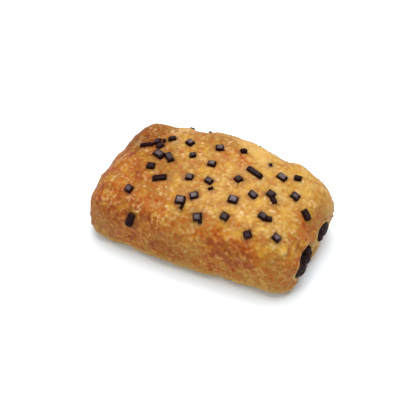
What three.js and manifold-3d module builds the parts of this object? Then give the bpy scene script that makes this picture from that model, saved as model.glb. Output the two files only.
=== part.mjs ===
import * as THREE from 'three';
import * as BufferGeometryUtils from 'three/addons/utils/BufferGeometryUtils.js';
import Module from 'manifold-3d';

// Pain au chocolat: a puffed roll of flaky dough, browned on top, with two strips of dark chocolate
// running through it from end to end and small square chocolate chips baked onto its crust.
// Millimetres. X runs along the roll, +X at the end that shows. -Y is the near side, +Z is up.
// The origin is the middle of the base.

// Driving sizes of the roll
const rollLength = 122;
const rollWidth = 76;
const rollHeight = 42;
const waistHeight = 15; // height of the widest line of the walls

// Roundness of the puffed block: 2 is an ellipse, higher is squarer
const planSquareness = 7.3;
const crownSquareness = 3;
const footSquareness = 5;
const footReach = 1.15; // how far the block would go below the base, as a share of the waist height

// How the walls bow, in mm at the corners: taper grows towards +X or +Y, bow grows towards both corners
const nearWall = { taper: -2.2, bow: -1.7 };
const farWall = { taper: -1.1, bow: -9.7 };
const leftEnd = { taper: 0, bow: -1.4 };
const rightEnd = { taper: 0.1, bow: 2.6 };
const crownSag = 0.1; // the crown is this share lower at both ends
const crownTwist = 0.015;

// Puffs and dents of the crust: where each is, how far it reaches and how much it stands out
const swellings = [
  { at: [-55, 29, 32], reach: 8, out: 1.4 },
  { at: [-24, 33, 37], reach: 9, out: -1 },
  { at: [-4, 34, 38], reach: 8, out: 2.8 },
  { at: [9, 34, 38], reach: 8, out: 2 },
  { at: [28, 31, 37], reach: 7, out: -0.8 },
  { at: [41, 29, 36], reach: 8, out: 2.7 },
  { at: [57, 12, 30], reach: 9, out: 2.9 },
  { at: [60, 16, 22], reach: 8, out: 1.2 },
  { at: [60, 3, 22], reach: 6, out: -2.2 },
  { at: [60, -1, 12], reach: 6.5, out: 3.2 },
  { at: [60, -19, 14], reach: 9, out: -3.4 },
  { at: [60, -14, 4], reach: 8, out: -2.4 },
  { at: [60, 10, 4], reach: 8, out: -1.8 },
  { at: [-43, 26, 36], reach: 5, out: 1.3 },
  { at: [3, -38, 3], reach: 5, out: 1.2 },
  { at: [25, -37, 7], reach: 7, out: -0.8 },
  { at: [52, -34, 14], reach: 9, out: 0.8 },
  { at: [33, -36, 14], reach: 9, out: 0.1 },
  { at: [14, -37, 14], reach: 11, out: 0.7 },
  { at: [-12, -37, 14], reach: 11, out: 1.5 },
  { at: [-34, -37, 13], reach: 8, out: 0.3 },
  { at: [-50, -35, 12], reach: 9, out: 1.8 },
  { at: [-60, -24, 12], reach: 9, out: 1.6 },
  { at: [-60, -11, 24], reach: 8, out: 1 },
  { at: [-58, 10, 29], reach: 9, out: -0.5 },
  { at: [-60, 2, 13], reach: 8, out: 1.2 },
  { at: [-24, 37, 15], reach: 12, out: 1.4 },
  { at: [18, 37, 14], reach: 13, out: 1.2 },
  { at: [57, -32, 5], reach: 6, out: 0.5 },
];

// Shallow fold behind the crest, where the last turn of dough has opened
const fold = { from: [3, 31], to: [24, 18], halfWidth: 4, depth: 1.8 };

// Uneven crust: gentle lumps all over, slanting flaky ridges on the long walls, layers at the ends
const lumpHeight = 0.45;
const flakeHeight = 0.45;
const layerHeight = 0.4;
const layerSpacing = 5.5;

// Strips of chocolate: middle of the section and its size, how far it leans, how deep its two lobes
// part, and where it starts and ends
const fillings = [
  {
    name: 'filling_front', across: -14.6, height: 14, width: 20, thick: 13.6, lean: -6,
    cleft: 0.22, phase: 0.6, from: -59.2, to: 59.6,
  },
  {
    name: 'filling_back', across: 7.7, height: 14.8, width: 14.6, thick: 9.6, lean: -15,
    cleft: 0.1, phase: 2.9, from: -59.8, to: 60.9,
  },
];
const fillingDome = 3; // length of the rounded end of a strip
const domeFullness = 0.6; // 1 is a round dome, less is blunter
const fillingLumps = 0.35;
const fillingGap = 0.35; // between a strip and the dough round it
const mouthDepth = 3.2; // how far the dough is drawn in round the end of a strip
const mouthSpread = 1.35; // size of the drawn-in place, as a share of the strip's section

// Chocolate chips. An ordinary one is a square tablet, by [along, across, turn in degrees].
const chipSize = 4.4;
const chipHeight = 2.2;
const chipSunk = 0.9; // how deep a chip sits in the crust
const squareChips = [
  [-37.3, 10.7, 20], [-34, 7.3, 60], [-32, -7.6, 10], [-36.1, -24.4, -13], [-20, 14.6, -23], [-3.9, 17, 24],
  [-2.9, 4.7, 5], [-9.6, -8.2, 11], [0.5, -6.5, -13], [-2.6, -17.6, 37], [3.6, -26.8, 24], [13.6, 1.2, 60],
  [24, -4.7, -13], [31.7, 0.6, -13], [42.8, 6.4, -13], [16.3, -22.2, -13], [33.4, -14.2, -5],
  [30.4, -25.9, 37], [43.8, -20.9, -13],
];
// Others by [along, across, turn in degrees, length, width]
const otherChips = [
  [-42, 7.3, 16, 8, 2.4], [-30, 13.7, 20, 4.4, 2.8], [-31.6, 1.1, -18, 6.6, 4.6],
  [-25.6, 1.1, -44, 7.2, 3.8], [-23.6, -14.2, 29, 7.8, 3.8], [19.3, 8.8, -17, 10, 3.2],
  [32.6, 13.2, -13, 5.6, 4.2], [51.4, 0.6, -30, 6.2, 3.8], [-8, -22.3, 11, 5.4, 4.8],
  [16.4, -12.2, 5, 5.2, 4.6], [40.1, 16.9, 10, 4.2, 3], [34.3, -2.2, -42, 4, 3],
  [36.6, -13.8, 30, 3.4, 2.8], [-14.3, 5.9, 30, 3.6, 3], [8, 21, 49, 3.6, 3],
];
// Crumbs of chip by [along, across]
const chipCrumbs = [
  [-33.8, 11.7], [3.3, -10.4], [-5.9, -25.3], [5.6, -28.3], [24, 19.3],
  [-27.5, 33], [-17, 34], [11.2, 36.2],
];
const crumbSize = 2.4;
// One chip stands on the near wall, by [along, height]
const wallChip = { along: -30.5, height: 26.5, length: 8, thick: 1.9, turn: 78 };
// Chips on the far wall, below its shoulder, by [along, height, turn]
const farWallChips = [[-44, 21, 30], [-37, 18, 75], [38, 20, 50], [45, 17, 10]];
const chipSeed = 7;

// Fineness of the meshes
const rollGrid = [36, 26, 16];
const barSides = 24;
const barRows = 6;
const domeRows = 3;
const chipSides = 8;

const crustMaterial = new THREE.MeshStandardMaterial({ color: 0xc98b45, roughness: 0.5, metalness: 0 });
const chocolateMaterial = new THREE.MeshStandardMaterial({ color: 0x24140f, roughness: 0.4, metalness: 0 });

const wasm = await Module();
wasm.setup();

function makeRandom(seed) {
  let state = seed;
  const modulus = 2147483647;
  return () => {
    state = (state * 16807) % modulus;
    return state / modulus;
  };
}

// Smooth step from 0 at the first edge to 1 at the second
function ramp(first, second, value) {
  return THREE.MathUtils.smoothstep((value - first) / (second - first), 0, 1);
}

// A point of the cube from -1 to 1 is drawn out to the puffed block
function puffedBlock(point) {
  const aboveWaist = point.z > 0;
  const squareness = aboveWaist ? crownSquareness : footSquareness;
  const reachZ = aboveWaist ? rollHeight - waistHeight : waistHeight * footReach;
  const plan = Math.abs(point.x) ** planSquareness + Math.abs(point.y) ** planSquareness;
  const size = (plan ** (squareness / planSquareness) + Math.abs(point.z) ** squareness) ** (-1 / squareness);
  const u = point.x * size;
  const v = point.y * size;
  const end = u < 0 ? leftEnd : rightEnd;
  const wall = v < 0 ? nearWall : farWall;
  const x = u * (rollLength / 2 + end.taper * v + end.bow * v * v);
  const y = v * (rollWidth / 2 + wall.taper * u + wall.bow * u * u);
  const z = (point.z * size * reachZ + waistHeight) * (1 - crownSag * u * u + crownTwist * u * v);
  return new THREE.Vector3(x, y, z);
}

// Way out from the core line of the roll at a point
function wayOut(point) {
  const coreHalf = rollLength / 2 - 26;
  const nearest = new THREE.Vector3(THREE.MathUtils.clamp(point.x, -coreHalf, coreHalf), 0, waistHeight);
  return point.clone().sub(nearest).normalize();
}

function swell(point) {
  let out = 0;
  for (const swelling of swellings) {
    const far = point.distanceTo(new THREE.Vector3(...swelling.at)) / swelling.reach;
    out += swelling.out * Math.exp(-far * far / 2);
  }
  return out;
}

function foldDepth(point) {
  const from = new THREE.Vector3(...fold.from, 0);
  const line = new THREE.Line3(from, new THREE.Vector3(...fold.to, 0));
  const flat = new THREE.Vector3(point.x, point.y, 0);
  const far = flat.distanceTo(line.closestPointToPoint(flat, true, new THREE.Vector3())) / fold.halfWidth;
  return point.z > waistHeight ? fold.depth * Math.exp(-far * far) : 0;
}

// Lumps, flaky ridges and layers, as waves a few millimetres long
function unevenness(point) {
  const { x, y, z } = point;
  const lumps = Math.sin(x / 3.9 + y / 6.1 + 0.7) * Math.sin(y / 4.3 - x / 9.7 + z / 5.3)
    + 0.6 * Math.sin(x / 6.7 - y / 5.1 + 2.1) * Math.sin(x / 5.9 + z / 3.7 + 1.3);
  const onWall = ramp(0.72, 0.95, Math.abs(y) / (rollWidth / 2)) * ramp(2, 8, z);
  const flakes = Math.sin((x + 1.3 * z) / 1.9 + 1.5 * Math.sin(x / 11)) * Math.sin(z / 4.1 + x / 13);
  const onEnd = ramp(0.84, 0.97, Math.abs(x) / (rollLength / 2)) * ramp(0, 4, z);
  const layers = Math.sin((z + 1.2 * Math.sin(y / 8)) * Math.PI * 2 / layerSpacing);
  return lumpHeight * lumps + flakeHeight * onWall * flakes + layerHeight * onEnd * layers;
}

// How far the ends of the dough are drawn in round each strip
function mouth(point) {
  const onEnd = ramp(0.78, 0.92, Math.abs(point.x) / (rollLength / 2));
  let deep = 0;
  for (const filling of fillings) {
    const leaning = new THREE.Vector2(point.y - filling.across, point.z - filling.height);
    leaning.rotateAround(new THREE.Vector2(), -THREE.MathUtils.degToRad(filling.lean));
    const acrossShare = leaning.x / (filling.width / 2);
    const heightShare = leaning.y / (filling.thick / 2);
    deep = Math.max(deep, 1 - ramp(0.85, mouthSpread, Math.hypot(acrossShare, heightShare)));
  }
  return mouthDepth * onEnd * deep;
}

function shapeRoll(point) {
  const block = puffedBlock(point);
  const out = swell(block) - foldDepth(block) + unevenness(block);
  const shaped = block.clone().addScaledVector(wayOut(block), out);
  shaped.x -= Math.sign(shaped.x) * mouth(shaped);
  return shaped;
}

function bareGeometry(geometry) {
  geometry.deleteAttribute('normal');
  geometry.deleteAttribute('uv');
  return BufferGeometryUtils.mergeVertices(geometry, 1e-5);
}

function moveVertices(geometry, place) {
  const bare = bareGeometry(geometry);
  const positions = bare.attributes.position;
  for (let index = 0; index < positions.count; index++) {
    const moved = place(new THREE.Vector3().fromBufferAttribute(positions, index));
    positions.setXYZ(index, moved.x, moved.y, moved.z);
  }
  return bare;
}

// The roll is fitted to its exact length, width and height above the floor, centred on the origin.
// It still reaches a little below the floor, where its base is cut flat.
function rollGeometry() {
  const geometry = moveVertices(new THREE.BoxGeometry(2, 2, 2, ...rollGrid), shapeRoll);
  geometry.computeBoundingBox();
  const middle = geometry.boundingBox.getCenter(new THREE.Vector3());
  const size = geometry.boundingBox.getSize(new THREE.Vector3());
  geometry.translate(-middle.x, -middle.y, 0);
  geometry.scale(rollLength / size.x, rollWidth / size.y, rollHeight / geometry.boundingBox.max.z);
  return geometry;
}

// Outline of a strip's section at an angle: two lobes with a cleft above and below
function sectionPoint(filling, angle, x, gap) {
  const upright = Math.abs(Math.sin(angle)) ** 5;
  const lumps = fillingLumps * Math.sin(3 * angle + filling.phase + 0.8 * Math.sin(x / 17));
  const acrossRadius = filling.width / 2 + lumps + gap;
  const heightRadius = filling.thick / 2 * (1 - filling.cleft * upright) + lumps + gap;
  const outline = new THREE.Vector2(acrossRadius * Math.cos(angle), heightRadius * Math.sin(angle));
  return outline.rotateAround(new THREE.Vector2(), THREE.MathUtils.degToRad(filling.lean));
}

// A bar along X from a turned profile of [share of the section, place along X]
function barGeometry(filling, profile, gap) {
  const points = profile.map(([share, along]) => new THREE.Vector2(share, along));
  return moveVertices(new THREE.LatheGeometry(points, barSides), (point) => {
    const share = Math.hypot(point.x, point.z);
    const angle = Math.atan2(point.x, point.z);
    const section = sectionPoint(filling, angle, point.y, gap);
    const across = filling.across + share * section.x;
    const height = filling.height + share * section.y;
    return new THREE.Vector3(point.y, across, height);
  });
}

// The straight stretch of a strip, between its rounded ends
function straightRows(filling) {
  const from = filling.from + fillingDome;
  const to = filling.to - fillingDome;
  const rows = [];
  for (let row = 0; row <= barRows; row++) rows.push([1, THREE.MathUtils.lerp(from, to, row / barRows)]);
  return rows;
}

// One rounded end of a strip, from its tip to just before the straight stretch
function domeRowsTo(tip, inward) {
  const rows = [];
  for (let row = 0; row < domeRows; row++) {
    const angle = row / domeRows * Math.PI / 2;
    rows.push([Math.sin(angle) ** domeFullness, tip + inward * fillingDome * (1 - Math.cos(angle))]);
  }
  return rows;
}

function fillingGeometry(filling) {
  const start = domeRowsTo(filling.from, 1);
  const end = domeRowsTo(filling.to, -1).reverse();
  return barGeometry(filling, [...start, ...straightRows(filling), ...end], 0);
}

// The way through the dough for a strip
function tunnelGeometry(filling) {
  const past = rollLength / 2 + 5;
  const start = [[0, -past], [1, -past]];
  const end = [[1, past], [0, past]];
  return barGeometry(filling, [...start, ...straightRows(filling), ...end], fillingGap);
}

// A chip lies flat on its base at the origin, longest along X, with cut corners and a narrower top
function chipGeometry(length, width, height) {
  const corner = 0.35; // draws the eight sides towards a square
  const topShare = 0.86;
  const turned = new THREE.CylinderGeometry(topShare, 1, height, chipSides);
  turned.rotateY(Math.PI / chipSides);
  return moveVertices(turned, (point) => {
    const share = Math.hypot(point.x, point.z);
    const alongShare = share > 0 ? Math.sign(point.x) * Math.abs(point.x / share) ** corner : 0;
    const acrossShare = share > 0 ? Math.sign(point.z) * Math.abs(point.z / share) ** corner : 0;
    const x = alongShare * share * length / 2;
    const y = -acrossShare * share * width / 2;
    return new THREE.Vector3(x, y, point.y + height / 2);
  });
}

function toSolid(geometry) {
  const vertProperties = new Float32Array(geometry.attributes.position.array);
  const triVerts = new Uint32Array(geometry.index.array);
  return new wasm.Manifold(new wasm.Mesh({ numProp: 3, vertProperties, triVerts }));
}

function toGeometry(solid) {
  const mesh = solid.getMesh();
  const geometry = new THREE.BufferGeometry();
  geometry.setAttribute('position', new THREE.BufferAttribute(mesh.vertProperties, 3));
  geometry.setIndex(new THREE.BufferAttribute(mesh.triVerts, 1));
  return geometry;
}

// Where a ray meets the roll, and which way its surface faces there
function findSurface(rollMesh, start, direction) {
  const hit = new THREE.Raycaster(start, direction).intersectObject(rollMesh)[0];
  return { point: hit.point, normal: hit.face.normal };
}

// A chip set in the surface, turned by some degrees about the way the surface faces
function placedChip(surface, turn, size) {
  const geometry = chipGeometry(...size);
  geometry.rotateZ(THREE.MathUtils.degToRad(turn));
  const stand = new THREE.Quaternion().setFromUnitVectors(new THREE.Vector3(0, 0, 1), surface.normal);
  geometry.applyQuaternion(stand);
  const base = surface.point.clone().addScaledVector(surface.normal, -chipSunk);
  geometry.translate(base.x, base.y, base.z);
  return geometry;
}

function chipGeometries(rollMesh) {
  const random = makeRandom(chipSeed);
  const about = (value, spread) => value * (1 + spread * (2 * random() - 1));
  const down = new THREE.Vector3(0, 0, -1);
  const above = 2 * rollHeight;
  const overTop = (along, across) => findSurface(rollMesh, new THREE.Vector3(along, across, above), down);
  const onWall = (along, height, side) => {
    const outside = new THREE.Vector3(along, side * rollWidth, height);
    return findSurface(rollMesh, outside, new THREE.Vector3(0, -side, 0));
  };
  const chips = [];
  for (const [along, across, turn] of squareChips) {
    const size = [about(chipSize, 0.1), about(chipSize * 0.92, 0.1), chipHeight];
    chips.push(placedChip(overTop(along, across), turn, size));
  }
  for (const [along, across, turn, length, width] of otherChips) {
    chips.push(placedChip(overTop(along, across), turn, [length, width, chipHeight]));
  }
  for (const [along, across] of chipCrumbs) {
    const size = [about(crumbSize, 0.2), about(crumbSize * 0.8, 0.2), chipHeight * 0.75];
    chips.push(placedChip(overTop(along, across), 180 * random(), size));
  }
  const wallSize = [wallChip.length, chipSize * 0.85, wallChip.thick];
  chips.push(placedChip(onWall(wallChip.along, wallChip.height, -1), wallChip.turn, wallSize));
  for (const [along, height, turn] of farWallChips) {
    const size = [about(chipSize, 0.2), about(chipSize * 0.9, 0.12), chipHeight];
    chips.push(placedChip(onWall(along, height, 1), turn, size));
  }
  return chips;
}

function underFloorGeometry() {
  const slab = new THREE.BoxGeometry(2 * rollLength, 2 * rollWidth, rollHeight);
  slab.translate(0, 0, -rollHeight / 2);
  return bareGeometry(slab);
}

// Dough with a flat base, the two ways through it and its chips fused on
function pastryMesh() {
  const roll = rollGeometry();
  const rollMesh = new THREE.Mesh(roll, crustMaterial);
  let solid = toSolid(roll).subtract(toSolid(underFloorGeometry()));
  for (const filling of fillings) solid = solid.subtract(toSolid(tunnelGeometry(filling)));
  for (const chip of chipGeometries(rollMesh)) solid = solid.add(toSolid(chip));
  const mesh = new THREE.Mesh(toGeometry(solid), crustMaterial);
  mesh.name = 'pastry';
  return mesh;
}

function fillingMesh(filling) {
  const mesh = new THREE.Mesh(fillingGeometry(filling), chocolateMaterial);
  mesh.name = filling.name;
  return mesh;
}

const painAuChocolat = new THREE.Group();
painAuChocolat.add(pastryMesh());
for (const filling of fillings) painAuChocolat.add(fillingMesh(filling));

export default painAuChocolat;
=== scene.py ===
import math

import bmesh
import bpy
import numpy as np
from mathutils import Matrix, Vector, noise
from mathutils.bvhtree import BVHTree


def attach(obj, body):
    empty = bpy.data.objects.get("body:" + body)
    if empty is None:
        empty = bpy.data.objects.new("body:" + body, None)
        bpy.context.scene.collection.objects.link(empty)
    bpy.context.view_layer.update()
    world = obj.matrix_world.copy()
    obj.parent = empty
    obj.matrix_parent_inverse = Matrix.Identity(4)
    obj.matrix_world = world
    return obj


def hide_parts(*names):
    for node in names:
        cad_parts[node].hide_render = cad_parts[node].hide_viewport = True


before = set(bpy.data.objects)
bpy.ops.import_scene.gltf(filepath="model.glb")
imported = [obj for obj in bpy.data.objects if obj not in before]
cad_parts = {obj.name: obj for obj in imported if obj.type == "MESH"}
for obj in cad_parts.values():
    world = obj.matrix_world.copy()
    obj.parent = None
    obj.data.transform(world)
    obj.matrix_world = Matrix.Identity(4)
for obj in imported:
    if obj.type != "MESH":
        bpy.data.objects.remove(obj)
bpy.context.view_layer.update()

# Pain au chocolat, baked and egg-washed, with chocolate chips on its crust and two strips of
# chocolate through it. Its sizes and the camera's are millimetres, and its meshes become metres as
# they are finished. The floor and the lights are set in metres.
mm = 0.001
bpy.context.scene.view_settings.view_transform = "Standard"  # shows the colours as they are set

# Camera
cameraSetup = dict(
    lens=85, sensor=36,
    elevation=50, azimuth=24.37,      # degrees
    distance=524.9,                   # from the point looked past
    lookedPast=(0, 0, 18),
    aimRight=-1.62, aimUp=-4.6,      # the roll sits a little off the middle of the picture
)


def makeCamera(setup):
    elevation = math.radians(setup["elevation"])
    azimuth = math.radians(setup["azimuth"])
    back = Vector((
        math.sin(azimuth) * math.cos(elevation),
        -math.cos(azimuth) * math.cos(elevation),
        math.sin(elevation),
    ))
    right = Vector((math.cos(azimuth), math.sin(azimuth), 0))
    up = back.cross(right)
    middle = Vector(setup["lookedPast"])
    place = middle + back * setup["distance"]
    aim = middle + right * setup["aimRight"] + up * setup["aimUp"]
    data = bpy.data.cameras.new("camera")
    data.lens = setup["lens"]
    data.sensor_width = setup["sensor"]
    data.clip_start = 0.02
    data.clip_end = 20
    camera = bpy.data.objects.new("camera", data)
    bpy.context.scene.collection.objects.link(camera)
    camera.location = place * mm
    camera.rotation_mode = "QUATERNION"
    camera.rotation_quaternion = (aim - place).to_track_quat("-Z", "Y")
    bpy.context.scene.camera = camera


makeCamera(cameraSetup)
print("camera made")


# Helpers
def fromHex(text):  # an sRGB colour such as "#c98b45", made linear
    shares = [int(text[start:start + 2], 16) / 255 for start in (1, 3, 5)]
    linear = [share / 12.92 if share <= 0.04045 else ((share + 0.055) / 1.055) ** 2.4 for share in shares]
    return (*linear, 1)


def addNode(tree, kind, inputs=None, stops=None, **settings):  # inputs are values, or sockets to link
    node = tree.nodes.new("ShaderNode" + kind)
    for name, value in settings.items():
        setattr(node, name, value)
    for name, value in (inputs or {}).items():
        if isinstance(value, bpy.types.NodeSocket):
            tree.links.new(value, node.inputs[name])
        else:
            node.inputs[name].default_value = value
    if stops:
        elements = node.color_ramp.elements
        while len(elements) < len(stops):
            elements.new(0.5)
        for element, (place, colour) in zip(elements, stops):
            element.position = place
            element.color = colour
    return node


def newMaterial(name):
    material = bpy.data.materials.new(name)
    material.use_nodes = True
    material.node_tree.nodes.clear()
    return material, material.node_tree


def perMetre(size):  # texture scale for a pattern of this size in millimetres
    return 1 / (size * mm)


def ramp(first, second, value):  # 0 at first and 1 at second, smooth between them
    share = np.clip((value - first) / (second - first), 0, 1)
    return share * share * (3 - 2 * share)


def noiseAt(points, size, seed=0):  # smooth noise, about -1 to 1, in lumps of this size
    return np.array([noise.noise(Vector(point)) for point in points / size + 17.3 * seed])


def cellsAt(points, size, seed=0):  # distance to the nearest cell middle, and a random share for each cell
    distances = np.empty(len(points))
    chances = np.empty(len(points))
    for index, point in enumerate(points / size + 17.3 * seed):
        near, middles = noise.voronoi(Vector(point))
        distances[index] = near[0]
        chances[index] = 0.5 + 0.5 * noise.cell(middles[0] * 61.7)
    return distances, chances


def nearPlaces(points, places):  # each place's own value where it lies, fading with distance
    shares = []
    for place, reach, value in places:
        far = np.linalg.norm(points - np.array(place), axis=1) / reach
        shares.append(value * np.exp(-far * far / 2))
    return np.array(shares)


def griddedCube(name, cuts):  # a cube from -1 to 1 with its faces cut into a grid
    bm = bmesh.new()
    bmesh.ops.create_cube(bm, size=2)
    for axis, count in enumerate(cuts):
        along = [
            edge for edge in bm.edges
            if abs(edge.verts[0].co[axis] - edge.verts[1].co[axis]) > 1
        ]
        bmesh.ops.subdivide_edges(bm, edges=along, cuts=count, use_grid_fill=True)
    mesh = bpy.data.meshes.new(name)
    bm.to_mesh(mesh)
    bm.free()
    return mesh


def getPoints(mesh):
    points = np.empty(len(mesh.vertices) * 3)
    mesh.vertices.foreach_get("co", points)
    return points.reshape(-1, 3)


def setPoints(mesh, points):
    mesh.vertices.foreach_set("co", points.astype(np.float32).ravel())
    mesh.update()


def getNormals(mesh):
    normals = np.empty(len(mesh.vertices) * 3)
    mesh.vertex_normals.foreach_get("vector", normals)
    return normals.reshape(-1, 3)


def setAttribute(mesh, name, values):
    layer = mesh.attributes.new(name, "FLOAT", "POINT")
    layer.data.foreach_set("value", np.asarray(values, np.float32))


def makeRandom(seed):  # draws between 0 and 1, the same ones for the same seed
    state = seed

    def draw():
        nonlocal state
        state = state * 16807 % 2147483647
        return state / 2147483647
    return draw


def finishPiece(name, mesh, material, nodes):
    setPoints(mesh, getPoints(mesh) * mm)
    mesh.shade_smooth()
    mesh.materials.clear()
    mesh.materials.append(material)
    piece = bpy.data.objects.new(name, mesh)
    bpy.context.scene.collection.objects.link(piece)
    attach(piece, "root")
    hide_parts(*nodes)
    print(name, "made:", len(mesh.vertices), "vertices")


# Roll of dough: the same puffed block, swellings and fold as its solid
roll = dict(
    length=122, width=76, height=42, waist=15,
    planSquareness=7.3, crownSquareness=3, footSquareness=5, footReach=1.15,
    nearWall=(-2.2, -1.7), farWall=(-1.1, -9.7),   # taper and bow, at the corners
    leftEnd=(0, -1.4), rightEnd=(0.1, 2.6),
    crownSag=0.1, crownTwist=0.015,
    coreInset=26,   # the dough swells away from a line that ends this far inside each end
    cuts=(223, 139, 81),
)
swellings = [  # [x, y, z], reach and how far out
    ((-55, 29, 32), 8, 1.4), ((-24, 33, 37), 9, -1), ((-4, 34, 38), 8, 2.8), ((9, 34, 38), 8, 2),
    ((28, 31, 37), 7, -0.8), ((41, 29, 36), 8, 2.7), ((57, 12, 30), 9, 2.9), ((60, 16, 22), 8, 1.2),
    ((60, 3, 22), 6, -2.2), ((60, -1, 12), 6.5, 3.2), ((60, -19, 14), 9, -3.4), ((60, -14, 4), 8, -2.4),
    ((60, 10, 4), 8, -1.8), ((-43, 26, 36), 5, 1.3), ((3, -38, 3), 5, 1.2), ((25, -37, 7), 7, -0.8),
    ((52, -34, 14), 9, 0.8), ((33, -36, 14), 9, 0.1), ((14, -37, 14), 11, 0.7), ((-12, -37, 14), 11, 1.5),
    ((-34, -37, 13), 8, 0.3), ((-50, -35, 12), 9, 1.8), ((-60, -24, 12), 9, 1.6), ((-60, -11, 24), 8, 1),
    ((-58, 10, 29), 9, -0.5), ((-60, 2, 13), 8, 1.2), ((-24, 37, 15), 12, 1.4), ((18, 37, 14), 13, 1.2),
    ((57, -32, 5), 6, 0.5),
]
fold = dict(start=(3, 31), end=(24, 18), halfWidth=4, depth=1.8)
mouths = dict(depth=3.2, spread=1.35)
fillings = [
    dict(name="filling_front", across=-14.6, height=14, width=20, thick=13.6, lean=-6,
         cleft=0.22, phase=0.6, start=-59.2, end=59.6, groove=1.6, grooveDepth=2.4),
    dict(name="filling_back", across=7.7, height=14.8, width=14.6, thick=9.6, lean=-15,
         cleft=0.1, phase=2.9, start=-59.8, end=60.9, groove=-1.5, grooveDepth=0.8),
]
bar = dict(
    dome=3, fullness=0.6, lumps=0.35,
    gap=0.35, swell=0.1,          # the way through the dough and the strip in it, past the section
    cuts=(150, 31, 31), tunnelCuts=(60, 23, 23), tunnelPast=5,
)


def bySide(onFirst, first, second):  # taper and bow of the wall that each point is on
    return np.where(onFirst, np.array(first)[:, None], np.array(second)[:, None])


def puffedBlock(points):  # the points of a cube, moved onto a block with rounded, bulging sides
    above = points[:, 2] > 0
    squareness = np.where(above, roll["crownSquareness"], roll["footSquareness"])
    reach = np.where(above, roll["height"] - roll["waist"], roll["waist"] * roll["footReach"])
    planSquareness = roll["planSquareness"]
    plan = (np.abs(points[:, :2]) ** planSquareness).sum(1)
    size = (plan ** (squareness / planSquareness) + np.abs(points[:, 2]) ** squareness) ** (-1 / squareness)
    u = points[:, 0] * size
    v = points[:, 1] * size
    endTaper, endBow = bySide(u < 0, roll["leftEnd"], roll["rightEnd"])
    wallTaper, wallBow = bySide(v < 0, roll["nearWall"], roll["farWall"])
    x = u * (roll["length"] / 2 + endTaper * v + endBow * v * v)
    y = v * (roll["width"] / 2 + wallTaper * u + wallBow * u * u)
    sag = 1 - roll["crownSag"] * u * u + roll["crownTwist"] * u * v
    z = (points[:, 2] * size * reach + roll["waist"]) * sag
    return np.column_stack((x, y, z))


def wayOut(points):  # the way out from a line along the middle of the roll
    coreHalf = roll["length"] / 2 - roll["coreInset"]
    core = np.column_stack((
        np.clip(points[:, 0], -coreHalf, coreHalf),
        np.zeros(len(points)),
        np.full(len(points), roll["waist"]),
    ))
    away = points - core
    return away / np.linalg.norm(away, axis=1)[:, None]


def foldShare(points):  # how close a point is to the line of the fold, 1 on the line
    start = np.array(fold["start"])
    line = np.array(fold["end"]) - start
    along = np.clip((points[:, :2] - start) @ line / (line @ line), 0, 1)
    far = np.linalg.norm(points[:, :2] - start - along[:, None] * line, axis=1) / fold["halfWidth"]
    return np.where(points[:, 2] > roll["waist"], np.exp(-far * far), 0)


def sectionShare(points, filling):  # 1 on the outline of a strip's section, less inside it
    lean = math.radians(filling["lean"])
    across = points[:, 1] - filling["across"]
    height = points[:, 2] - filling["height"]
    turnedAcross = across * math.cos(lean) + height * math.sin(lean)
    turnedHeight = height * math.cos(lean) - across * math.sin(lean)
    return np.hypot(turnedAcross / (filling["width"] / 2), turnedHeight / (filling["thick"] / 2))


def endShare(points, first, second):  # 0 along the roll and 1 at both its ends
    return ramp(first, second, np.abs(points[:, 0]) / (roll["length"] / 2))


def mouthDepth(points):  # how far each end is drawn in round the strips
    nearest = np.min([sectionShare(points, filling) for filling in fillings], axis=0)
    return mouths["depth"] * endShare(points, 0.78, 0.92) * (1 - ramp(0.85, mouths["spread"], nearest))


def lumps(points):  # unevenness of the puffed dough, in millimetres out
    x, y, z = points.T
    first = np.sin(x / 3.9 + y / 6.1 + 0.7) * np.sin(y / 4.3 - x / 9.7 + z / 5.3)
    second = np.sin(x / 6.7 - y / 5.1 + 2.1) * np.sin(x / 5.9 + z / 3.7 + 1.3)
    return 0.45 * (first + 0.6 * second)


def shapeRoll(points):
    block = puffedBlock(points)
    out = lumps(block) - fold["depth"] * foldShare(block) + nearPlaces(block, swellings).sum(0)
    shaped = block + wayOut(block) * out[:, None]
    shaped[:, 0] -= np.sign(shaped[:, 0]) * mouthDepth(shaped)
    return shaped


def fitToSize(points):  # exact length, width and height above the floor, in the middle
    low = points.min(0)
    high = points.max(0)
    middle = (low + high) / 2
    middle[2] = 0
    scale = [
        roll["length"] / (high[0] - low[0]),
        roll["width"] / (high[1] - low[1]),
        roll["height"] / high[2],
    ]
    return (points - middle) * scale


creases = [  # dints, or raised wrinkles where the depth is below 0: both ends, half width and depth
    ((4, 21, 40.5), (16.8, 12.3, 41), 1.1, 0.45), ((24, 24, 38), (33, 21, 37.5), 1, 0.4),
    ((60.3, 17, 18.3), (60, 9.8, 22.7), 1, 1), ((60, 9.8, 22.7), (57.4, -1.5, 25.1), 0.9, 0.7),
    ((57.4, -1.5, 25.1), (56.3, -10, 25.5), 0.9, 0.5), ((54.6, -14, 27.6), (54.4, -25, 25), 1, 0.35),
    ((56.5, -8, 24.5), (56.3, -19.5, 23.5), 1, -0.4), ((49.4, -22, 31), (50.1, -24.9, 29.9), 1.1, -0.6),
    ((50.1, -24.9, 29.9), (44.1, -31, 27.4), 1.2, -0.6), ((52, -21, 29.5), (52.6, -27, 27), 0.9, 0.4),
    ((20.3, -33.3, 29.6), (24.6, -34.5, 25), 1.4, 0.4), ((33, -33.5, 26), (36.5, -34.3, 20), 1.2, 0.4),
    ((-30.5, -35, 29), (-27, -36.5, 22), 1.3, 0.35), ((-4, -35.5, 27), (0, -36.5, 22), 1.2, 0.35),
]

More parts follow.
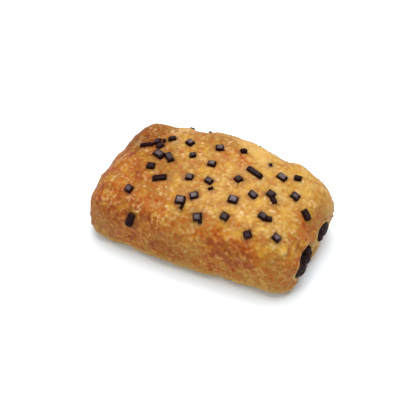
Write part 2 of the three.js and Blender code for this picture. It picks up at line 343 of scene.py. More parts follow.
# Relief of the baked crust, in millimetres out from the roll
crustRelief = dict(
    blister=0.4, blisterSize=2.3,       # round blisters, a little lower on top
    pimple=0.22, pimpleSize=1.3,
    rumple=0.5, rumpleSize=6,
    ridge=0.3, flake=0.25,              # slanting ridges and thin flakes of the walls
    flakeWide=2.5, flakeLong=3.8,
    skin=0.12, skinSize=3.4,            # patches of thin skin on top
    flakeSlant=63,                      # degrees down from the length of the roll
    layer=0.45, layerSpacing=2.3,       # edges of the layers, at both ends
    grain=0.06, grainSize=1.5,
)
loose = dict(  # flakes that stand off, this many on each long wall
    count=70, rise=0.55, shortest=2, longest=6, narrowest=1.4, widest=3.6,
    turn=75,                            # degrees at most from the slant of the others
    reach=54, lowest=6, highest=31,     # where they are along the roll and up the wall
    bend=0.1, edge=0.4, rim=0.6,
)


def slantedPlaces(points):  # places in units of one flake, which slants down the long walls
    slant = math.radians(crustRelief["flakeSlant"])
    x, y, z = points.T
    along = x * math.cos(slant) - z * math.sin(slant)
    across = x * math.sin(slant) + z * math.cos(slant)
    bent = across + 1.4 * noiseAt(points, 9, 3) + 0.5 * noiseAt(points, 3, 13)
    return np.column_stack((
        bent / crustRelief["flakeWide"], along / crustRelief["flakeLong"], y / crustRelief["flakeLong"],
    ))


def layerEdges(points):  # edges of the rolled layers, which lie round each strip like rings
    nearest = np.min([
        (sectionShare(points, filling) - 1) * filling["thick"] / 2 for filling in fillings
    ], axis=0)
    wavy = nearest + 1.1 * noiseAt(points, 7, 5) + 0.35 * noiseAt(points, 2.5, 6)
    return np.sin(wavy * 2 * math.pi / crustRelief["layerSpacing"])


def looseFlakes(points):  # how high the loose flakes stand, and a line of painted shade along the edge of each
    random = makeRandom(11)
    rise = np.zeros(len(points))
    rim = np.zeros(len(points))
    for side in (-1, 1):
        there = np.nonzero(points[:, 1] * side > 0.55 * roll["width"] / 2)[0]
        x = points[there, 0]
        z = points[there, 2]
        for index in range(loose["count"]):
            slant = math.radians(crustRelief["flakeSlant"] + 2 * loose["turn"] * (random() - 0.5))
            long = loose["shortest"] + (loose["longest"] - loose["shortest"]) * random()
            wide = loose["narrowest"] + (loose["widest"] - loose["narrowest"]) * random()
            high = loose["rise"] * (0.4 + 0.6 * random())
            fromMiddleX = x - loose["reach"] * (2 * random() - 1)
            fromMiddleZ = z - loose["lowest"] - (loose["highest"] - loose["lowest"]) * random()
            along = fromMiddleX * math.cos(slant) - fromMiddleZ * math.sin(slant)
            across = fromMiddleX * math.sin(slant) + fromMiddleZ * math.cos(slant)
            across += loose["bend"] * along * along
            window = np.clip(1 - (along / long) ** 2, 0, 1)
            inside = np.clip(1 - across / wide, 0, 1)
            edge = np.clip(1 + across / loose["edge"], 0, 1)
            rise[there] = np.maximum(rise[there], high * window * np.where(across > 0, inside, edge))
            line = np.exp(-(across / loose["rim"] + 1) ** 2)
            rim[there] = np.maximum(rim[there], window * line)
    return rise, rim


def lineShare(points, start, end, halfWidth):  # how close a point is to a line, 1 on the line
    start = np.array(start)
    line = np.array(end) - start
    along = np.clip((points - start) @ line / (line @ line), 0, 1)
    far = np.linalg.norm(points - start - along[:, None] * line, axis=1) / halfWidth
    return np.exp(-far * far)


def wallShare(points):  # 0 on top and 1 on the long walls
    return ramp(0.66, 0.9, np.abs(points[:, 1]) / (roll["width"] / 2)) * (1 - endShare(points, 0.9, 0.99))


def crustHeights(points):
    onWall = wallShare(points)
    onEnd = endShare(points, 0.86, 0.97)
    onTop = 1 - np.maximum(onWall, onEnd)
    distance, chance = cellsAt(points, crustRelief["blisterSize"], 1)
    blisters = chance * np.clip(1 - (distance / 0.55) ** 2, 0, 1)
    distance, chance = cellsAt(points, crustRelief["pimpleSize"], 2)
    pimples = chance * np.clip(1 - (distance / 0.5) ** 2, 0, 1)
    slanted = slantedPlaces(points)
    ridges = np.clip(1 - np.abs(noiseAt(slanted, 1, 4)) * 2.4, -1, 1)
    flakes = cellsAt(slanted, 1.2, 14)[1]
    wavy = points + 0.8 * np.column_stack([noiseAt(points, 2.2, seed) for seed in (15, 16, 17)])
    skin = cellsAt(wavy, crustRelief["skinSize"], 18)[1]
    fine = noiseAt(points, crustRelief["grainSize"], 7)
    coarse = noiseAt(points, crustRelief["rumpleSize"], 8)
    height = crustRelief["blister"] * blisters * (1 - 0.2 * onTop)
    height += crustRelief["pimple"] * pimples
    height += crustRelief["rumple"] * coarse
    height += crustRelief["ridge"] * ridges * (0.15 + 0.85 * onWall)
    height += crustRelief["flake"] * flakes * onWall + crustRelief["skin"] * skin * onTop
    height += crustRelief["layer"] * layerEdges(points) * onEnd * (1 - ramp(13, 22, points[:, 2]))
    height += crustRelief["grain"] * fine
    rise, rim = looseFlakes(points)
    height += rise * onWall
    creased = np.zeros(len(points))
    for start, end, halfWidth, depth in creases:
        share = lineShare(points, start, end, halfWidth)
        height -= depth * share
        creased += math.copysign(1, depth) * share
    tips = blisters + 0.5 * pimples + 0.6 * ridges * (0.15 + 0.85 * onWall) + 0.2 * fine
    plates = (2 * flakes - 1) * onWall + (2 * skin - 1) * (1 - onWall)
    # painted shade: darker in a line along each loose flake's edge and in the dints; painted light: paler on
    # the raised flakes and wrinkles
    paintedReliefShade = 0.2 * rim * onWall - 0.35 * rise * onWall + 0.22 * creased
    return height, tips, plates, paintedReliefShade


def cutBase(mesh):
    bm = bmesh.new()
    bm.from_mesh(mesh)
    everything = bm.verts[:] + bm.edges[:] + bm.faces[:]
    cut = bmesh.ops.bisect_plane(
        bm, geom=everything, plane_co=(0, 0, 0), plane_no=(0, 0, 1), clear_inner=True,
    )
    rim = [item for item in cut["geom_cut"] if isinstance(item, bmesh.types.BMEdge)]
    bmesh.ops.edgeloop_fill(bm, edges=rim)
    bmesh.ops.recalc_face_normals(bm, faces=bm.faces)
    bm.to_mesh(mesh)
    bm.free()


# A strip is drawn from a long cube: its walls become the section, and its ends become domes
def barMesh(filling, cuts, swell, past=None):
    mesh = griddedCube(filling["name"], cuts)
    points = getPoints(mesh)
    share = np.abs(points[:, 1:]).max(1)
    square = points[:, 1:] / np.maximum(share, 1e-9)[:, None]
    angle = np.arctan2(np.tan(square[:, 1] * math.pi / 4), np.tan(square[:, 0] * math.pi / 4))
    start, end = (filling["start"], filling["end"]) if past is None else (-past, past)
    dome = bar["dome"] if past is None else 0
    onEndFace = np.abs(points[:, 0]) > 0.999
    rise = np.where(onEndFace, np.arcsin(np.clip(share, 0, 1) ** (1 / bar["fullness"])), math.pi / 2)
    inset = dome * (1 - np.cos(rise))
    crowded = np.sign(points[:, 0]) * (1 - (1 - np.abs(points[:, 0])) ** 2)
    half = (end - start) / 2 - inset
    along = (start + end) / 2 + crowded * half
    upright = np.abs(np.sin(angle)) ** 5
    uneven = bar["lumps"] * np.sin(3 * angle + filling["phase"] + 0.8 * np.sin(along / 17)) + swell
    acrossOut = (filling["width"] / 2 + uneven) * np.cos(angle) * share
    heightOut = (filling["thick"] / 2 * (1 - filling["cleft"] * upright) + uneven) * np.sin(angle) * share
    lean = math.radians(filling["lean"])
    y = filling["across"] + acrossOut * math.cos(lean) - heightOut * math.sin(lean)
    z = filling["height"] + acrossOut * math.sin(lean) + heightOut * math.cos(lean)
    setPoints(mesh, np.column_stack((along, y, z)))
    return mesh


def cutTunnel(mesh, filling):  # the way through the dough for one strip
    tunnel = barMesh(filling, bar["tunnelCuts"], bar["gap"], roll["length"] / 2 + bar["tunnelPast"])
    cutter = bpy.data.objects.new("cutter", tunnel)
    holder = bpy.data.objects.new("holder", mesh)
    for thing in (cutter, holder):
        bpy.context.scene.collection.objects.link(thing)
    modifier = holder.modifiers.new("tunnel", "BOOLEAN")
    modifier.operation = "DIFFERENCE"
    modifier.solver = "MANIFOLD"
    modifier.object = cutter
    graph = bpy.context.evaluated_depsgraph_get()
    cut = bpy.data.meshes.new_from_object(holder.evaluated_get(graph))
    for thing in (cutter, holder):
        bpy.data.objects.remove(thing)
    for used in (tunnel, mesh):
        bpy.data.meshes.remove(used)
    return cut


def surfaceTree(mesh):  # for finding where a chip lands on the roll
    bm = bmesh.new()
    bm.from_mesh(mesh)
    tree = BVHTree.FromBMesh(bm)
    bm.free()
    return tree


# How brown the crust is made: a share for each part of it, and sizes of the patches
oven = dict(
    base=0.4, shoulder=0.16, steep=0.2, leftHalf=0.1, foot=0.14, farRim=0.2,
    cloud=0.1, cloudSize=8, patch=0.1, patchSize=3.2,
)
browned = [  # places browned more or less than that: [x, y, z], reach and change
    ((-42, -32, 26), 12, 0.1), ((-20, -33, 31), 7, 0.16), ((12, -34, 27), 7, 0.13), ((22, -34, 27), 7, 0.2),
    ((33, -33, 25), 7, 0.18), ((17, -35, 12), 7, 0.04), ((-8, -37, 14), 8, 0.08), ((41, -34, 9), 8, -0.12),
    ((-44, 12, 34), 12, 0.1), ((-10, 22, 40), 11, 0.08), ((48, -24, 30), 8, -0.14), ((55, -16, 25), 6, 0.12),
    ((4, 0, 41), 18, -0.06), ((40, 4, 37), 14, -0.06), ((55, 19, 28), 9, -0.12), ((16, 27, 37), 8, -0.26),
    ((7, 20, 40), 4, 0.16), ((30, 25, 37), 7, -0.06), ((-28, 6, 39), 8, -0.04),
    ((48.6, -20.3, 31.7), 1.6, 0.3), ((52.7, -4.1, 29.7), 1.6, 0.3), ((51.7, -31.5, 15.7), 0.9, 0.6),
    ((57.9, -22, 9), 4, 0.25), ((-42.5, -31.5, 31.5), 9, 0.1), ((-15, 0, 41), 10, 0.04),
    ((20, -33, 29), 4, 0.14), ((34, -34, 24), 4, 0.12), ((14.4, -36.2, 14), 4, 0.15),
    ((3, -36.8, 20), 4, -0.14), ((7.7, -36.3, 12), 5, -0.04), ((-48, -34, 16), 10, 0.24),
    ((4, 10, 41.5), 5, 0.12), ((-26, -20, 38), 10, 0.08), ((55.5, -16, 25.5), 3.5, 0.25),
    ((57, -3, 26), 3, 0.2), ((55.2, -27, 22), 3, 0.2), ((-42, 20, 33), 9, 0.08), ((-56, -10, 28), 9, 0.14),
    ((-54, -28, 22), 9, 0.1), ((-55, 15, 28), 9, 0.1), ((14.5, 11.5, 41), 3, 0.26), ((-28, 27, 36), 5, -0.2),
    ((6, 19, 40.5), 3, 0.14), ((10.5, 15.5, 41), 3, 0.14), ((21, -33, 27), 4, 0.15),
    ((33, -33, 25), 3.5, 0.15), ((28, -20, 36), 5, -0.1), ((-34, -14, 38), 9, 0.12),
    ((36, 4, 38), 10, -0.06), ((-50, 0, 30), 12, 0.08),
]
paintedShade = [  # places where shade is painted, the crust made darker and greyer: [x, y, z], reach and how much, as in the next two lists
    ((-46, 14, 33), 15, 0.9), ((-8, 25, 40), 10, 0.5), ((-52, -18, 28), 12, 0.45), ((-30, -8, 39), 13, 0.6),
    ((-52, -34, 8), 9, 0.4), ((-60, -20, 18), 7, 0.8), ((-59, 0, 24), 7, 0.7), ((-12, -36, 14), 9, 0.5),
    ((-30, -28, 34), 9, 0.3), ((55, 14, 29), 7, 0.3), ((46, 28, 31), 6, 0.4), ((52, -31, 30), 7, 0.2),
    ((30, 27, 37), 8, 0.2), ((58, 4, 28), 5, 0.25), ((56, -16, 26), 5, 0.3),
]
underbaked = [  # places that the heat hardly reached
    ((59.5, 17, 24), 6, 0.6), ((45, 26, 34), 6, 0.3), ((-48, -36, 6), 8, 0.3), ((18, 26, 38), 8, 0.25),
]
dustAndSheen = [  # places with a whitish, dusty crust, partly a painted sheen
    ((-28, 26, 37), 4, 1), ((-26, 15, 40), 4, 0.9), ((-20, 5, 40.5), 3, 0.8), ((-31, 20, 38), 3, 0.9),
    ((17, -3, 41), 5, 0.4), ((19, -12, 40), 5, 0.3), ((35, -8, 38), 5, 0.3), ((48, -4, 33), 4, 0.4),
    ((54, 3, 30), 4, 0.5), ((-1, 14, 41), 5, 0.6), ((4, -20, 39), 5, 0.5), ((12, 12, 41), 4, 0.4),
]


def bakeShares(points, normals):
    up = normals[:, 2]
    shoulder = ramp(0.15, 0.5, up) * (1 - ramp(0.6, 0.92, up))
    bake = oven["base"] + oven["shoulder"] * shoulder + oven["steep"] * (1 - ramp(0.1, 0.7, up))
    # browner towards the left end
    bake += oven["leftHalf"] * ramp(10, -50, points[:, 0])
    bake += nearPlaces(points, browned).sum(0)
    bake += oven["cloud"] * noiseAt(points, oven["cloudSize"], 11)
    bake += oven["patch"] * noiseAt(points, oven["patchSize"], 12)
    # browner along the far rim of the left half
    bake += oven["farRim"] * ramp(32, 38, points[:, 1]) * ramp(10, -10, points[:, 0])
    bake -= oven["foot"] * (1 - ramp(1, 8, points[:, 2]))
    return bake


# Dough that the heat hardly reached: in the fold, round the strips and between them, and at the foot
paleDough = dict(
    fold=0.55, foldPatches=0.45, foldPatchSize=4.5,
    lip=0.85, lipWide=(0.6, 2.2), lipWaver=0.8,
    bridge=0.85, bridgeMiddle=(-1, 12), bridgeHalf=(5, 7),
    foot=0.65, footHigh=(2, 10), footPatches=0.7, footPatchSize=6,
)


def paleShares(points):
    onEnd = endShare(points, 0.86, 0.93)
    nearest = np.min([
        (sectionShare(points, filling) - 1) * filling["thick"] / 2 for filling in fillings
    ], axis=0)
    lip = 1 - ramp(*paleDough["lipWide"], nearest + paleDough["lipWaver"] * noiseAt(points, 4, 36))
    far = np.linalg.norm((points[:, 1:] - paleDough["bridgeMiddle"]) / paleDough["bridgeHalf"], axis=1)
    bridge = 1 - ramp(0.6, 1.2, far)
    foldPatches = paleDough["foldPatches"] * noiseAt(points, paleDough["foldPatchSize"], 37)
    footPatches = paleDough["footPatches"] * noiseAt(points, paleDough["footPatchSize"], 35)
    foot = paleDough["foot"] * (1 - ramp(*paleDough["footHigh"], points[:, 2]))
    return np.max([
        foldShare(points) * (paleDough["fold"] + foldPatches),
        onEnd * paleDough["lip"] * lip,
        onEnd * paleDough["bridge"] * bridge,
        foot * (1 + footPatches),
        *nearPlaces(points, underbaked),
    ], axis=0)


def crustMesh():
    cuts = roll["cuts"]
    mesh = griddedCube("crust", cuts)
    shaped = fitToSize(shapeRoll(getPoints(mesh)))
    setPoints(mesh, shaped)
    tree = surfaceTree(mesh)
    height, tips, plates, paintedReliefShade = crustHeights(shaped)
    raised = fitToSize(shaped + getNormals(mesh) * height[:, None])
    setPoints(mesh, raised)
    setAttribute(mesh, "tips", tips)
    setAttribute(mesh, "plates", plates)
    setAttribute(mesh, "paintedReliefShade", paintedReliefShade)
    cutBase(mesh)
    for filling in fillings:
        mesh = cutTunnel(mesh, filling)
    mesh.name = "crust"
    points = getPoints(mesh)
    setAttribute(mesh, "bake", bakeShares(points, getNormals(mesh)))
    setAttribute(mesh, "pale", paleShares(points))
    # painted shade: how much darker and greyer the crust is made at each listed place
    setAttribute(mesh, "paintedShadeShare", nearPlaces(points, paintedShade).max(0) * (1 + 0.5 * noiseAt(points, 4, 33)))
    # whitish dust, partly a painted sheen
    setAttribute(mesh, "dustAndSheen", nearPlaces(points, dustAndSheen).max(0))
    setAttribute(mesh, "steep", 1 - ramp(0.35, 0.8, getNormals(mesh)[:, 2]))
    return mesh, tree


# Chocolate chips, baked onto the crust
chip = dict(
    size=4.4, height=2.2, sunk=0.9, corner=0.85, taper=0.88,
    melt=0.2, meltSize=1.7, fineMeltSize=0.8,   # how far its surface has run, and in lumps of what size
    stainAndShade=0.9,                                  # how far it has soaked into the crust, about, and how far the shade painted at its foot reaches
)
squareChips = [  # along, across, turn in degrees, and bloom with painted sheen: how grey the top is
    (-37.3, 10.7, 20, 0.2), (-34, 7.3, 60, 0.1), (-32, -7.6, 10, 0.1), (-36.1, -24.4, -13, 0.5),
    (-20, 14.6, -23, 0.8), (-3.9, 17, 24, 0.7), (-2.9, 4.7, 5, 0.9), (-9.6, -8.2, 11, 0.7),
    (0.5, -6.5, -13, 0.5), (-2.6, -17.6, 37, 0.9), (3.6, -26.8, 24, 0.7), (13.6, 1.2, 60, 0.2),
    (24, -4.7, -13, 0.6), (31.7, 0.6, -13, 0.2), (42.8, 6.4, -13, 0.5), (16.3, -22.2, -13, 0.4),
    (33.4, -14.2, -5, 0.3), (30.4, -25.9, 37, 0.2), (43.8, -20.9, -13, 0.7),
]
otherChips = [  # the same, then length and width
    (-42, 7.3, 16, 0, 8, 2.4), (-30, 13.7, 20, 0.1, 4.4, 2.8), (-31.6, 1.1, -18, 0.6, 6.6, 4.6),
    (-25.6, 1.1, -44, 0.4, 7.2, 3.8), (-23.6, -14.2, 29, 0, 7.8, 3.8), (19.3, 8.8, -17, 0.1, 10, 3.2),
    (32.6, 13.2, -13, 0.8, 5.6, 4.2), (51.4, 0.6, -30, 0.1, 6.2, 3.8), (-8, -22.3, 11, 1, 5.4, 4.8),
    (16.4, -12.2, 5, 1, 5.2, 4.6), (40.1, 16.9, 10, 0, 4.2, 3), (34.3, -2.2, -42, 0, 4, 3),
    (36.6, -13.8, 30, 0.1, 3.4, 2.8), (-14.3, 5.9, 30, 0.3, 3.6, 3), (8, 21, 49, 0, 3.6, 3),
]
chipCrumbs = [  # along, across
    (-33.8, 11.7), (3.3, -10.4), (-5.9, -25.3), (5.6, -28.3), (24, 19.3), (-27.5, 33), (-17, 34),
    (11.2, 36.2),
]
crumbSize = 2.4
wallChip = dict(along=-30.5, height=26.5, length=8, thick=1.9, turn=78)
farWallChips = [(-44, 21, 30), (-37, 18, 75), (38, 20, 50), (45, 17, 10)]  # along, height, turn


def tablet(length, width, height, place, bloomAndSheen):  # one chip with soft edges, slightly melted
    bm = bmesh.new()
    layer = bm.verts.layers.float.new("bloomAndSheen")
    bmesh.ops.create_cube(bm, size=1, matrix=Matrix.Diagonal((length, width, height, 1)))
    for vert in bm.verts:
        vert.co.z += height / 2
        if vert.co.z > height / 2:
            vert.co.x *= chip["taper"]
            vert.co.y *= chip["taper"]
    bmesh.ops.bevel(
        bm, geom=bm.edges[:], affect="EDGES", offset=min(chip["corner"], 0.34 * min(width, height)),
        segments=3, profile=0.5, material=-1,
    )
    long = [edge for edge in bm.edges if edge.calc_length() > 1.1]
    bmesh.ops.subdivide_edges(bm, edges=long, cuts=5, use_grid_fill=True)
    for vert in bm.verts:
        # painted sheen with the bloom: grey in the middle of the top, fading to dark towards its rim
        inward = 1 - ramp(0.4, 0.85, 2.2 * max(abs(vert.co.x) / length, abs(vert.co.y) / width))
        vert[layer] = bloomAndSheen * inward * float(ramp(0.8, 0.97, vert.co.z / height))
        vert.co = place @ vert.co
        shift = noise.noise_vector(vert.co / chip["meltSize"])
        shift += 0.5 * noise.noise_vector(vert.co / chip["fineMeltSize"])
        vert.co += shift * chip["melt"]
    mesh = bpy.data.meshes.new("tablet")
    bm.to_mesh(mesh)
    bm.free()
    return mesh


def chipsMesh(tree):  # all chips in one mesh, and where each one sits
    noise.seed_set(5)  # noise_vector, which melts the chips, takes its shifts from this seed
    bm = bmesh.new()
    seats = []
    random = makeRandom(7)

    def about(value, spread):
        return value * (1 + spread * (2 * random() - 1))

    def setOn(start, way, turn, size, bloomAndSheen):
        point, normal = tree.ray_cast(Vector(start), Vector(way))[:2]
        stand = Vector((0, 0, 1)).rotation_difference(normal)
        place = Matrix.Translation(point - normal * chip["sunk"]) @ stand.to_matrix().to_4x4()
        place = place @ Matrix.Rotation(math.radians(turn), 4, "Z")
        seats.append((place, size))
        made = tablet(*size, place, bloomAndSheen)
        bm.from_mesh(made)
        bpy.data.meshes.remove(made)

    def onTop(along, across, turn, size, bloomAndSheen):
        setOn((along, across, 2 * roll["height"]), (0, 0, -1), turn, size, bloomAndSheen)

    def onWall(along, height, side, turn, size, bloomAndSheen):
        setOn((along, side * roll["width"], height), (0, -side, 0), turn, size, bloomAndSheen)

    for along, across, turn, bloomAndSheen in squareChips:
        size = (about(chip["size"], 0.1), about(chip["size"] * 0.92, 0.1), chip["height"])
        onTop(along, across, turn, size, bloomAndSheen)
    for along, across, turn, bloomAndSheen, length, width in otherChips:
        onTop(along, across, turn, (length, width, chip["height"]), bloomAndSheen)
    for along, across in chipCrumbs:
        size = (about(crumbSize, 0.2), about(crumbSize * 0.8, 0.2), chip["height"] * 0.75)
        onTop(along, across, 180 * random(), size, 0)
    wallSize = (wallChip["length"], chip["size"] * 0.85, wallChip["thick"])
    onWall(wallChip["along"], wallChip["height"], -1, wallChip["turn"], wallSize, 0)
    for along, height, turn in farWallChips:
        size = (about(chip["size"], 0.2), about(chip["size"] * 0.9, 0.12), chip["height"])
        onWall(along, height, 1, turn, size, 0.5)
    mesh = bpy.data.meshes.new("chips")
    bm.to_mesh(mesh)
    bm.free()
    return mesh, seats


def stainAndShadeShares(points, seats):  # how much melted chocolate has soaked into the crust round each chip, with painted shade at its foot
    random = makeRandom(23)
    share = np.zeros(len(points))
    for place, (length, width, height) in seats:
        turned = np.array(place.inverted())
        local = points @ turned[:3, :3].T + turned[:3, 3]
        outside = np.maximum(np.abs(local[:, :2]) - 0.46 * np.array((length, width)), 0)
        far = np.hypot(np.linalg.norm(outside, axis=1), 0.5 * np.maximum(np.abs(local[:, 2]) - height, 0))
        reach = chip["stainAndShade"] * (0.5 + random())
        share = np.maximum(share, np.exp(-far / reach))
    return share * (1 + 0.35 * noiseAt(points, 1.6, 31))


# Strips of chocolate, wrinkled by the oven where they come out of the dough
def fillingMesh(filling):
    mesh = barMesh(filling, bar["cuts"], bar["swell"])
    points = getPoints(mesh)
    normals = getNormals(mesh)
    ridges = 1 - 2 * np.abs(noiseAt(points * [0.6, 1, 1], 3.4, 21))
    fine = 1 - 2 * np.abs(noiseAt(points * [0.7, 1, 1], 1.5, 22))
    outside = endShare(points, 0.88, 0.95)
    grooveFar = (points[:, 1] - filling["across"] - filling["groove"]) / 1.3
    groove = filling["grooveDepth"] * np.exp(-grooveFar * grooveFar)
    points += normals * ((0.8 * ridges + 0.25 * fine - 0.75 - groove) * outside)[:, None]
    points[:, 0] = np.clip(points[:, 0], filling["start"], filling["end"])
    setPoints(mesh, points)
    # ridge: where the wrinkles stand up, which the strip's finish paints with glints
    setAttribute(mesh, "ridge", ridges + 0.5 * fine)
    return mesh


# Egg-washed puff dough, baked: golden where thin, red-brown where the heat was strongest,
# with a soft sheen from the dried egg and a mottle of blisters one to two millimetres across. Its colour
# also holds painted light: shade in the hollows, under the flakes, round the chips and at listed places, and
# pale flecks that stand partly for glints.
crustLook = dict(
    pale="#bd9c5a", gold="#b08036", amber="#a06a29", brown="#aa5d19", deep="#90420d",
    # paintedShade is the grey tint that multiplies the crust where shade is painted
    cream="#dbb581", ochre="#d0a052", yellow="#be902c", raw="#c49d59", paintedShade="#b9b49c",
    # stainAndShade: the chocolate stain round the chips, which also paints the shade at their feet
    stainAndShade="#40190e",
    patterns=dict(  # size in millimetres, and detail
        patch=(4.5, 3), mottle=(1.8, 3), fleck=(2, 1), bunch=(7, 1), cloud=(5.5, 2), speck=(0.9, 2),
    ),
    # tips and paintedReliefShade paint shade into the browning: browner in hollows, dints and under flake
    # edges
    browning=dict(patch=0.9, mottle=0.65, tips=-0.16, plates=0.09, paintedReliefShade=1), browningFrom=0.72,
    # tips and dustAndSheen set where the pale flecks and painted glints lie
    flecking=dict(tips=0.32, dustAndSheen=0.2), mostFlecked=0.68,
    mostYellow=0.6, lessYellowWhereSteep=0.65, mostStainedAndShaded=0.75,
    grainDepth=0.3, roughness=0.52, specular=0.12, ior=1.45, coat=0.06, coatRoughness=0.3,
)


def crustMaterial(look):
    material, tree = newMaterial("egg washed puff dough")
    coords = addNode(tree, "TexCoord").outputs["Object"]
    at = {}
    for name in ("bake", "pale", "tips", "plates", "paintedReliefShade", "stainAndShade", "steep", "paintedShadeShare", "dustAndSheen"):
        at[name] = addNode(tree, "Attribute", attribute_name=name).outputs["Fac"]
    for name, (size, detail) in look["patterns"].items():
        pattern = addNode(tree, "TexNoise", {"Vector": coords, "Scale": perMetre(size), "Detail": detail})
        at[name] = pattern.outputs["Fac"]

    # the oven's browning, broken up by patches, mottle and plates, with shade painted in: browner in the
    # hollows between the blisters' tips, where egg wash also pooled, in the dints and along the loose
    # flakes' edges, and paler on raised flakes and wrinkles
    brownness = at["bake"]
    for name, amount in look["browning"].items():
        added = addNode(tree, "Math", {0: at[name], 1: amount, 2: brownness}, operation="MULTIPLY_ADD")
        brownness = added.outputs[0]
    share = addNode(tree, "Math", {0: brownness, 1: look["browningFrom"]}, operation="SUBTRACT")
    stops = [
        (0.05, fromHex(look["pale"])), (0.3, fromHex(look["gold"])), (0.5, fromHex(look["amber"])),
        (0.7, fromHex(look["brown"])), (0.95, fromHex(look["deep"])),
    ]
    bakedColour = addNode(tree, "ValToRGB", {"Fac": share.outputs[0]}, stops=stops)

    # yellow clouds on top, less on the walls
    yellowness = addNode(tree, "MapRange", {
        "Value": at["cloud"], "From Min": 0.48, "From Max": 0.68, "To Min": 0, "To Max": look["mostYellow"],
    })
    flatness = addNode(tree, "Math", {
        0: at["steep"], 1: -look["lessYellowWhereSteep"], 2: 1,
    }, operation="MULTIPLY_ADD")
    yellowShare = addNode(tree, "Math", {
        0: yellowness.outputs[0], 1: flatness.outputs[0],
    }, operation="MULTIPLY")
    yellowed = addNode(tree, "Mix", {
        0: yellowShare.outputs[0], 6: bakedColour.outputs["Color"], 7: fromHex(look["yellow"]),
    }, data_type="RGBA")
    # painted shade: the colour multiplied darker and greyer at the listed places
    paintedShadeMix = addNode(tree, "Mix", {
        0: at["paintedShadeShare"], 6: yellowed.outputs[2], 7: fromHex(look["paintedShade"]),
    }, data_type="RGBA", blend_type="MULTIPLY")

    # pale flecks, partly pale flakes and partly painted glints: on the blisters' tips above all, in bunches,
    # and at the places of whitish dust and painted sheen
    fleckiness = at["fleck"]
    for name, amount in look["flecking"].items():
        added = addNode(tree, "Math", {0: at[name], 1: amount, 2: fleckiness}, operation="MULTIPLY_ADD")
        fleckiness = added.outputs[0]
    flecks = addNode(tree, "MapRange", {
        "Value": fleckiness, "From Min": 0.58, "From Max": 0.98, "To Min": 0, "To Max": look["mostFlecked"],
    })
    bunched = addNode(tree, "MapRange", {
        "Value": at["bunch"], "From Min": 0.4, "From Max": 0.62, "To Min": 0.3, "To Max": 1,
    })
    spread = addNode(tree, "Math", {0: bunched.outputs[0], 1: at["dustAndSheen"]}, operation="MAXIMUM")
    fleckAndGlintShare = addNode(tree, "Math", {0: flecks.outputs[0], 1: spread.outputs[0]}, operation="MULTIPLY")
    # fleck and glint colour: cream on top, ochre on the walls
    fleckAndGlintColour = addNode(tree, "Mix", {
        0: at["steep"], 6: fromHex(look["cream"]), 7: fromHex(look["ochre"]),
    }, data_type="RGBA")
    flecked = addNode(tree, "Mix", {
        0: fleckAndGlintShare.outputs[0], 6: paintedShadeMix.outputs[2], 7: fleckAndGlintColour.outputs[2],
    }, data_type="RGBA")

    # pale dough, then chocolate soaked in round the chips, with painted shade at their feet
    paled = addNode(tree, "Mix", {
        0: at["pale"], 6: flecked.outputs[2], 7: fromHex(look["raw"]),
    }, data_type="RGBA")
    stainedAndShaded = addNode(tree, "Math", {0: at["stainAndShade"], 1: look["mostStainedAndShaded"]}, operation="MULTIPLY")
    coloured = addNode(tree, "Mix", {
        0: stainedAndShaded.outputs[0], 6: paled.outputs[2], 7: fromHex(look["stainAndShade"]),
    }, data_type="RGBA")
    bump = addNode(tree, "Bump", {
        "Height": at["speck"], "Distance": look["grainDepth"] * mm, "Strength": 0.4,
    })
    shader = addNode(tree, "BsdfPrincipled", {
        "Base Color": coloured.outputs[2], "Roughness": look["roughness"], "IOR": look["ior"],
        "Specular IOR Level": look["specular"], "Coat Weight": look["coat"],
        "Coat Roughness": look["coatRoughness"], "Coat Normal": bump.outputs["Normal"],
        "Normal": bump.outputs["Normal"],
    })
    addNode(tree, "OutputMaterial", {"Surface": shader.outputs["BSDF"]})
    return material


# Dark couverture chips, baked: satin and nearly black, with a grey bloom on the flat tops that is partly a
# painted sheen.
chipLook = dict(
    # top: the grey of the bloom and of the sheen painted on the tops
    body="#200b0a", top="#776a6c", cloudSize=1.6, dintDepth=0.2,
    roughness=0.4, specular=0.06, ior=1.45,
)


def chipMaterial(look):
    material, tree = newMaterial("baked dark chocolate")
    coords = addNode(tree, "TexCoord").outputs["Object"]
    bloomAndSheen = addNode(tree, "Attribute", attribute_name="bloomAndSheen").outputs["Fac"]
    cloud = addNode(tree, "TexNoise", {"Vector": coords, "Scale": perMetre(look["cloudSize"]), "Detail": 3})
    patchy = addNode(tree, "MapRange", {
        "Value": cloud.outputs["Fac"], "From Min": 0.3, "From Max": 0.7, "To Min": 0.5, "To Max": 1,
    })
    share = addNode(tree, "Math", {0: bloomAndSheen, 1: patchy.outputs[0]}, operation="MULTIPLY")
    # painted sheen: the grey top colour mixed in with the bloom
    colour = addNode(tree, "Mix", {
        0: share.outputs[0], 6: fromHex(look["body"]), 7: fromHex(look["top"]),
    }, data_type="RGBA")
    bump = addNode(tree, "Bump", {
        "Height": cloud.outputs["Fac"], "Distance": look["dintDepth"] * mm, "Strength": 0.4,
    })
    shader = addNode(tree, "BsdfPrincipled", {
        "Base Color": colour.outputs[2], "Roughness": look["roughness"], "IOR": look["ior"],
        "Specular IOR Level": look["specular"], "Normal": bump.outputs["Normal"],
    })
    addNode(tree, "OutputMaterial", {"Surface": shader.outputs["BSDF"]})
    return material


# Dark chocolate strip, melted and set again in the oven: satin, with glints painted on its wrinkles as a
# lighter grey.
stripLook = dict(
    body="#1a0b09", ridge="#3c292a", grainSize=0.9, grainDepth=0.25,
    roughness=0.45, specular=0.03, ior=1.45,
)


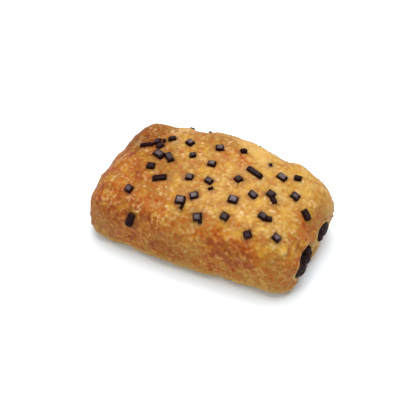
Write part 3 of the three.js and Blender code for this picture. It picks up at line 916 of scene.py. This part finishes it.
def stripMaterial(look):
    material, tree = newMaterial("melted chocolate strip")
    coords = addNode(tree, "TexCoord").outputs["Object"]
    ridge = addNode(tree, "Attribute", attribute_name="ridge").outputs["Fac"]
    grain = addNode(tree, "TexNoise", {"Vector": coords, "Scale": perMetre(look["grainSize"]), "Detail": 3})
    # painted glints: a lighter grey mixed in where the wrinkles stand up
    share = addNode(tree, "MapRange", {
        "Value": ridge, "From Min": 0.2, "From Max": 1.4, "To Min": 0, "To Max": 0.8,
    })
    colour = addNode(tree, "Mix", {
        0: share.outputs[0], 6: fromHex(look["body"]), 7: fromHex(look["ridge"]),
    }, data_type="RGBA")
    bump = addNode(tree, "Bump", {
        "Height": grain.outputs["Fac"], "Distance": look["grainDepth"] * mm, "Strength": 0.5,
    })
    shader = addNode(tree, "BsdfPrincipled", {
        "Base Color": colour.outputs[2], "Roughness": look["roughness"], "IOR": look["ior"],
        "Specular IOR Level": look["specular"], "Normal": bump.outputs["Normal"],
    })
    addNode(tree, "OutputMaterial", {"Surface": shader.outputs["BSDF"]})
    return material


crust, baseTree = crustMesh()
chips, chipSeats = chipsMesh(baseTree)
setAttribute(crust, "stainAndShade", stainAndShadeShares(getPoints(crust), chipSeats))
finishPiece("crust", crust, crustMaterial(crustLook), ["pastry"])
finishPiece("chips", chips, chipMaterial(chipLook), ["pastry"])
stripFinish = stripMaterial(stripLook)
for filling in fillings:
    node = filling["name"]
    finishPiece(node + "_strip", fillingMesh(filling), stripFinish, [node])
print("pieces made")

# Floor and light, in metres
studio = dict(
    floorSize=6, floorColour="#edf4f9",
    worldColour="#ffffff", worldStrength=0.42,
)


def makeFloor(setup):
    bm = bmesh.new()
    bmesh.ops.create_grid(bm, x_segments=1, y_segments=1, size=setup["floorSize"] / 2)
    mesh = bpy.data.meshes.new("floor")
    bm.to_mesh(mesh)
    bm.free()
    floor = bpy.data.objects.new("floor", mesh)
    floor.location.z = -0.02 * mm
    bpy.context.scene.collection.objects.link(floor)
    material, tree = newMaterial("pale floor")
    shader = addNode(tree, "BsdfPrincipled", {
        "Base Color": fromHex(setup["floorColour"]), "Roughness": 0.9, "Specular IOR Level": 0.1,
    })
    addNode(tree, "OutputMaterial", {"Surface": shader.outputs["BSDF"]})
    mesh.materials.append(material)


softboxes = dict(
    overhead=dict(size=1.4, place=(-0.06, 0.3, 1.25), power=24),
    front=dict(size=0.5, place=(-0.55, -0.9, 0.85), power=3.5),
)


def makeSoftbox(name, setup):
    data = bpy.data.lights.new(name, "AREA")
    data.shape = "DISK"
    data.size = setup["size"]
    data.energy = setup["power"]
    softbox = bpy.data.objects.new(name, data)
    softbox.location = setup["place"]
    softbox.rotation_mode = "QUATERNION"
    softbox.rotation_quaternion = (-softbox.location).to_track_quat("-Z", "Y")
    bpy.context.scene.collection.objects.link(softbox)


def makeWorld(setup):
    world = bpy.data.worlds.new("studio")
    world.use_nodes = True
    world.node_tree.nodes.clear()
    sky = addNode(world.node_tree, "Background", {
        "Color": fromHex(setup["worldColour"]), "Strength": setup["worldStrength"],
    })
    addNode(world.node_tree, "OutputWorld", {"Surface": sky.outputs["Background"]})
    bpy.context.scene.world = world


makeFloor(studio)
makeWorld(studio)
for name, setup in softboxes.items():
    makeSoftbox(name, setup)
print("floor and light made")
